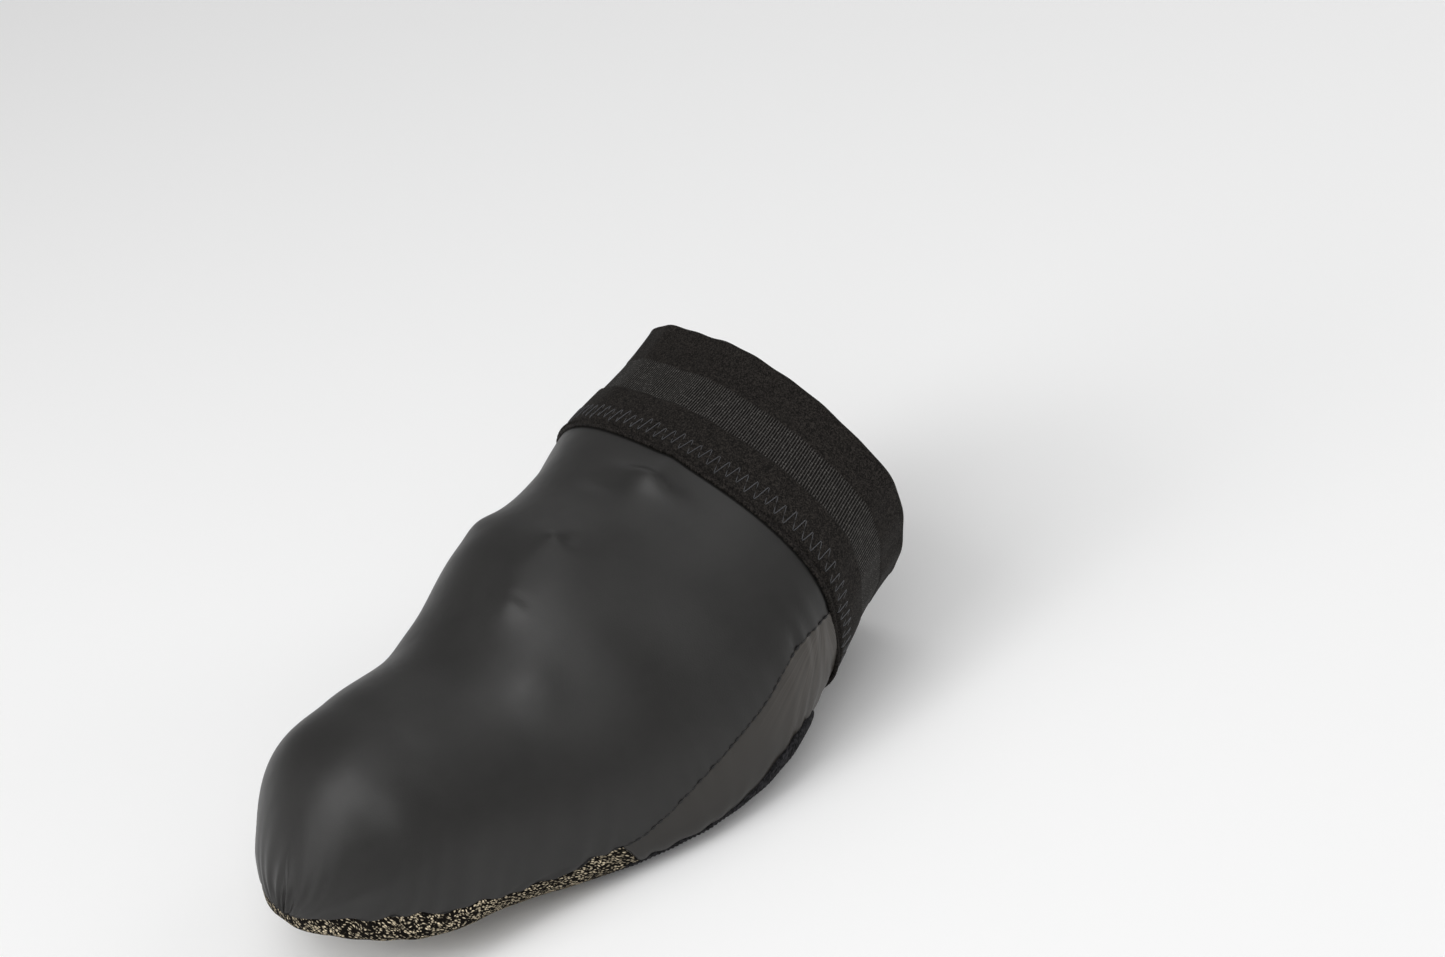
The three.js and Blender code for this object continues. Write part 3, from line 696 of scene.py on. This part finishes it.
CUFF_PROFILE = np.array([
    # back from the front edge and depth, in mm
    [0.5, 1.2], [0.1, 0.5], [-0.35, -0.2], [-0.35, -0.7], [0.0, -1.05], [0.5, -1.05], [0.9, -0.75],
    [1.15, -0.3], [1.6, -0.25], [2.2, -0.75], [12.9, -0.75], [13.5, -0.3], [22.9, -0.35], [23.3, -0.5],
    [32.2, -0.5], [32.9, -0.6], [33.4, -0.3], [33.5, 0.3], [33.2, 1.2],
])
CUFF_INSIDE = np.array([
    # back from the front edge in mm, and share of the rear edge's slow waves
    [33.2, 1], [24.0, 1], [12.0, 0.5], [0.5, 0],
])


def uneven(run, back):
    """The band's unevenness: two slow waves round it, which grow from its sewn front to its free rear."""
    waves = sum(height * np.sin(2 * np.pi * count * run / cuff_length) for height, count in CUFF_WAVES)
    return waves * np.clip((back - WAVES_START) / WAVES_REACH, 0, 1)


cuff_turns = np.linspace(0, 2, EDGE_POINTS)
cuff_lengths = run_along(surface(CUFF_FRONT + cuff_bow(cuff_turns) + CUFF_WIDTH / 2, cuff_turns, 0))
cuff_length = cuff_lengths[-1]
cuff_run = np.linspace(0, cuff_length, CUFF_RIBS * RIB_STEPS + 1)[:, None]
cuff_turn = np.interp(cuff_run, cuff_lengths, cuff_turns)
knots = run_along(CUFF_PROFILE)
profile_run = np.unique(np.r_[knots, np.linspace(knots[3], knots[-3], CUFF_SIDES)])
cuff_back, cuff_depth = [np.interp(profile_run, knots, CUFF_PROFILE[:, k]) for k in (0, 1)]
is_lip = np.exp(-(((cuff_back - LIP_MIDDLE) / LIP_SPREAD) ** 2))
knurls = KNURL * np.cos(2 * np.pi * CUFF_RIBS * cuff_run / cuff_length) * is_lip
lip_waves = LIP_WAVE * np.sin(2 * np.pi * LIP_WAVES * cuff_run / cuff_length) * is_lip
slow = uneven(cuff_run, cuff_back)
drawn_in = CUFF_DRAW * np.exp(-(((past_ridge(cuff_turn) - DRAW_TURN) / DRAW_SPREAD) ** 2))
cuff_start, kept_width = CUFF_FRONT + cuff_bow(cuff_turn), 1 - drawn_in / CUFF_WIDTH
cuff_y = cuff_start + cuff_back * kept_width + lip_waves
cuff_outside = surface(cuff_y, cuff_turn, cuff_depth - knurls - slow - creases(cuff_y, cuff_turn))
inside_y = cuff_start + CUFF_INSIDE[:, 0] * kept_width
inside_depth = CUFF_WALL - slow[:, [-1]] * CUFF_INSIDE[:, 1] - creases(inside_y, cuff_turn)
cuff_inside = surface(inside_y, cuff_turn, inside_depth)
cuff_inside[:, 0], cuff_inside[:, -1] = cuff_outside[:, -1], cuff_outside[:, 0]
cuff_pattern = np.stack(np.broadcast_arrays(cuff_run, cuff_back), -1)
cuff_grids = [(cuff_outside, cuff_pattern, 0), (cuff_inside, None, 0)]
woven = elastic_cloth(
    "cuff_elastic_black", CUFF_DARK, CUFF_LIGHT, CUFF_FLECK, cuff_length / CUFF_RIBS, RIB_ZONE, RIB_LIGHT,
)
sewn_piece("elastic_cuff", cuff_grids, [woven], "cuff_elastic", "cuff")


# Stitches: a zigzag of grey thread joins the cuff to the panels under it, and short dark stitches lie
# in the side seams.
ZIGZAG_PITCH, ZIGZAG_FRONT, ZIGZAG_REAR = 2.8, 2.4, 6.6
ZIGZAG_RADIUS, ZIGZAG_STEPS, ZIGZAG_ROUND = 0.12, 20, 0.35
ZIGZAG_WAVES = [(0.35, 29), (0.2, 71)]  # height and count of the zigzag's wander
ZIGZAG_RISE, ZIGZAG_DIP, LEG_DIP = 0.8, 0.22, 0.17
STITCHES, STITCH_SHARE, STITCH_RADIUS, STITCH_BOW = 34, 0.0105, 0.27, 0.12
FIRST_STITCH, LAST_STITCH = 0.01, 0.985  # shares of the seam's length
STITCH_THIN = np.array([0, 0.7, 0.95, 1, 1, 1, 0.95, 0.7, 0])
GREY_DARK, GREY_LIGHT = (0.014, 0.015, 0.018), (0.054, 0.056, 0.064)
BLACK_DARK, BLACK_LIGHT = (0.001, 0.001, 0.001), (0.004, 0.004, 0.004)


def thread_tube(path, outward, radius, closed=False, sides=6):
    """A round thread along a path: a circle in the plane of the outward direction and its cross
    product with the path's."""
    ahead = np.gradient(path, axis=0)
    if closed:
        ahead[[0, -1]] = path[1] - path[-2]
    ahead /= np.linalg.norm(ahead, axis=-1, keepdims=True)
    aside = np.cross(ahead, outward)
    aside /= np.linalg.norm(aside, axis=-1, keepdims=True)
    up = np.cross(aside, ahead)
    turn = np.linspace(0, 2 * np.pi, sides + 1)[None, :, None]
    return path[:, None] + radius * (np.cos(turn) * aside[:, None] + np.sin(turn) * up[:, None])


zigzags = round(cuff_length / ZIGZAG_PITCH)
zig_way = np.linspace(0, 1, zigzags * ZIGZAG_STEPS + 1)
leg = np.floor(zig_way * zigzags * 2) % 2
swing = np.abs((zig_way * zigzags * 2 + 1) % 2 - 1)
swing = swing * swing * (3 - 2 * swing) * ZIGZAG_ROUND + swing * (1 - ZIGZAG_ROUND)
zig_turn = np.interp(zig_way * cuff_length, cuff_lengths, cuff_turns)
wander = sum(height * np.sin(2 * np.pi * count * zig_way) for height, count in ZIGZAG_WAVES)
zig_back = ZIGZAG_FRONT + (ZIGZAG_REAR - ZIGZAG_FRONT) * swing + wander
zig_y = CUFF_FRONT + cuff_bow(zig_turn) + zig_back
zig_depth = ZIGZAG_DIP * np.abs(2 * swing - 1) ** 6 + LEG_DIP * leg * np.sin(np.pi * swing) - ZIGZAG_RISE
zig_depth = zig_depth - uneven(zig_way * cuff_length, zig_back) - creases(zig_y, zig_turn)
zig_path = surface(zig_y, zig_turn, zig_depth)
zig_path[:, 2] = np.maximum(zig_path[:, 2], ZIGZAG_RADIUS)
zig_out = surface(zig_y, zig_turn, -1.5) - surface(zig_y, zig_turn, -0.5)
zigzag = thread_tube(zig_path, zig_out, ZIGZAG_RADIUS, closed=True)
grey_thread = finish("thread_grey", GREY_LIGHT, 0.55, Sheen_Weight=0.2)
grey = shade(grey_thread, noise(grey_thread, 1800, 2), GREY_DARK, GREY_LIGHT)
into_shader(grey_thread, "Base Color", grey)
into_shader(grey_thread, "Normal", bump(grey_thread, noise(grey_thread, 4000, 2), 0.0001, 0.5))
sewn_piece("cuff_zigzag", [(zigzag, None, 0)], [grey_thread], "cuff_elastic")

black_thread = finish("thread_black", BLACK_LIGHT, 0.6)
black = shade(black_thread, noise(black_thread, 2500, 2), BLACK_DARK, BLACK_LIGHT)
into_shader(black_thread, "Base Color", black)
knots_each = len(STITCH_THIN)
stitch_places = np.linspace(FIRST_STITCH, LAST_STITCH, STITCHES)[:, None]
stitch_places = stitch_places + np.linspace(-STITCH_SHARE, STITCH_SHARE, knots_each)[None, :]
bow = np.sin(np.linspace(0, np.pi, knots_each))[None, :, None]
for side, name in ((1, "inner_seam_stitches"), (-1, "outer_seam_stitches")):
    y, turn = seam_edge(side, 0, GUARD_LENGTH + 1, corner - 1, stitch_places.ravel())
    path = surface(y, turn, 0).reshape(STITCHES, knots_each, 3)
    out = (surface(y, turn, -1) - surface(y, turn, 0)).reshape(STITCHES, knots_each, 3)
    path = path + out * STITCH_BOW * (bow - 0.5)
    tubes = np.stack([thread_tube(p, o, STITCH_RADIUS) for p, o in zip(path, out)])
    tubes = path[:, :, None] + (tubes - path[:, :, None]) * STITCH_THIN[None, :, None, None]
    sewn_piece(name, [(tubes, None, 0)], [black_thread], "side_fabric")


# Studio: a plain pale floor, a pale surround and soft lamps from all round. The camera stands at the
# photograph's angle, rolled as it was, with the whole cover in view.
FLOOR_HALF, FLOOR_GREY, FLOOR_GLOW = 6.0, 0.93, 0.035
SURROUND = 0.25
LAMPS = [
    # name, place in metres, size and power
    ("front", (-0.35, -1.15, 0.7), 0.8, 4.6),
    ("front_high", (0, -0.8, 1.1), 0.8, 5.0),
    ("top", (0, 0, 1.3), 1.2, 4.0),
    ("near", (0.8, -0.6, 0.9), 0.8, 3.5),
    ("rear", (0.6, 0.9, 0.8), 0.8, 2.0),
    ("low", (0.75, 1.0, 0.2), 0.4, 3.6),
    ("far_back", (-0.7, 0.8, 0.8), 0.8, 0.7),
]
LAMP_AIM = (0, 0, 0.03)
AZIMUTH, ELEVATION, ROLL = (math.radians(a) for a in (57.66, 30.96, -17.83))
DISTANCE, FOCAL_PIXELS, IMAGE_WIDTH, SENSOR = 0.92631, 3911.17, 1445, 36.0
AIM = np.array([0.02997, 0.04699, 0.07007])

floor_mesh = bpy.data.meshes.new("floor")
floor_corners = [(x * FLOOR_HALF, y * FLOOR_HALF, 0) for x, y in ((-1, -1), (1, -1), (1, 1), (-1, 1))]
floor_mesh.from_pydata(floor_corners, [], [(0, 1, 2, 3)])
glow = {"Emission_Color": (1, 1, 1, 1), "Emission_Strength": FLOOR_GLOW}
floor_mesh.materials.append(finish("floor_pale", [FLOOR_GREY] * 3, 0.7, **glow))
floor = bpy.data.objects.new("floor", floor_mesh)
bpy.context.scene.collection.objects.link(floor)

world = bpy.data.worlds.new("pale_surround")
world.use_nodes = True
world.node_tree.nodes["Background"].inputs[0].default_value = (1, 1, 1, 1)
world.node_tree.nodes["Background"].inputs[1].default_value = SURROUND
bpy.context.scene.world = world

for name, place, size, power in LAMPS:
    light = bpy.data.lights.new("lamp_" + name, "AREA")
    light.size, light.energy = size, power
    lamp = bpy.data.objects.new("lamp_" + name, light)
    lamp.location = place
    lamp.rotation_euler = (Vector(LAMP_AIM) - Vector(place)).to_track_quat("-Z", "Y").to_euler()
    bpy.context.scene.collection.objects.link(lamp)

flat_part = math.cos(ELEVATION)
away = np.array([math.sin(AZIMUTH) * flat_part, -math.cos(AZIMUTH) * flat_part, math.sin(ELEVATION)])
level = np.array([math.cos(AZIMUTH), math.sin(AZIMUTH), 0])
upward = np.cross(away, level)
right = math.cos(ROLL) * level + math.sin(ROLL) * upward
top = -math.sin(ROLL) * level + math.cos(ROLL) * upward
eye = AIM + DISTANCE * away
lens = bpy.data.cameras.new("camera")
lens.sensor_width, lens.lens = SENSOR, FOCAL_PIXELS / IMAGE_WIDTH * SENSOR
lens.clip_start, lens.clip_end = 0.01, 20
camera = bpy.data.objects.new("camera", lens)
camera.matrix_world = Matrix([[right[k], top[k], away[k], eye[k]] for k in range(3)] + [[0, 0, 0, 1]])
bpy.context.scene.collection.objects.link(camera)
bpy.context.scene.camera = camera
bpy.context.scene.view_settings.view_transform = "Standard"
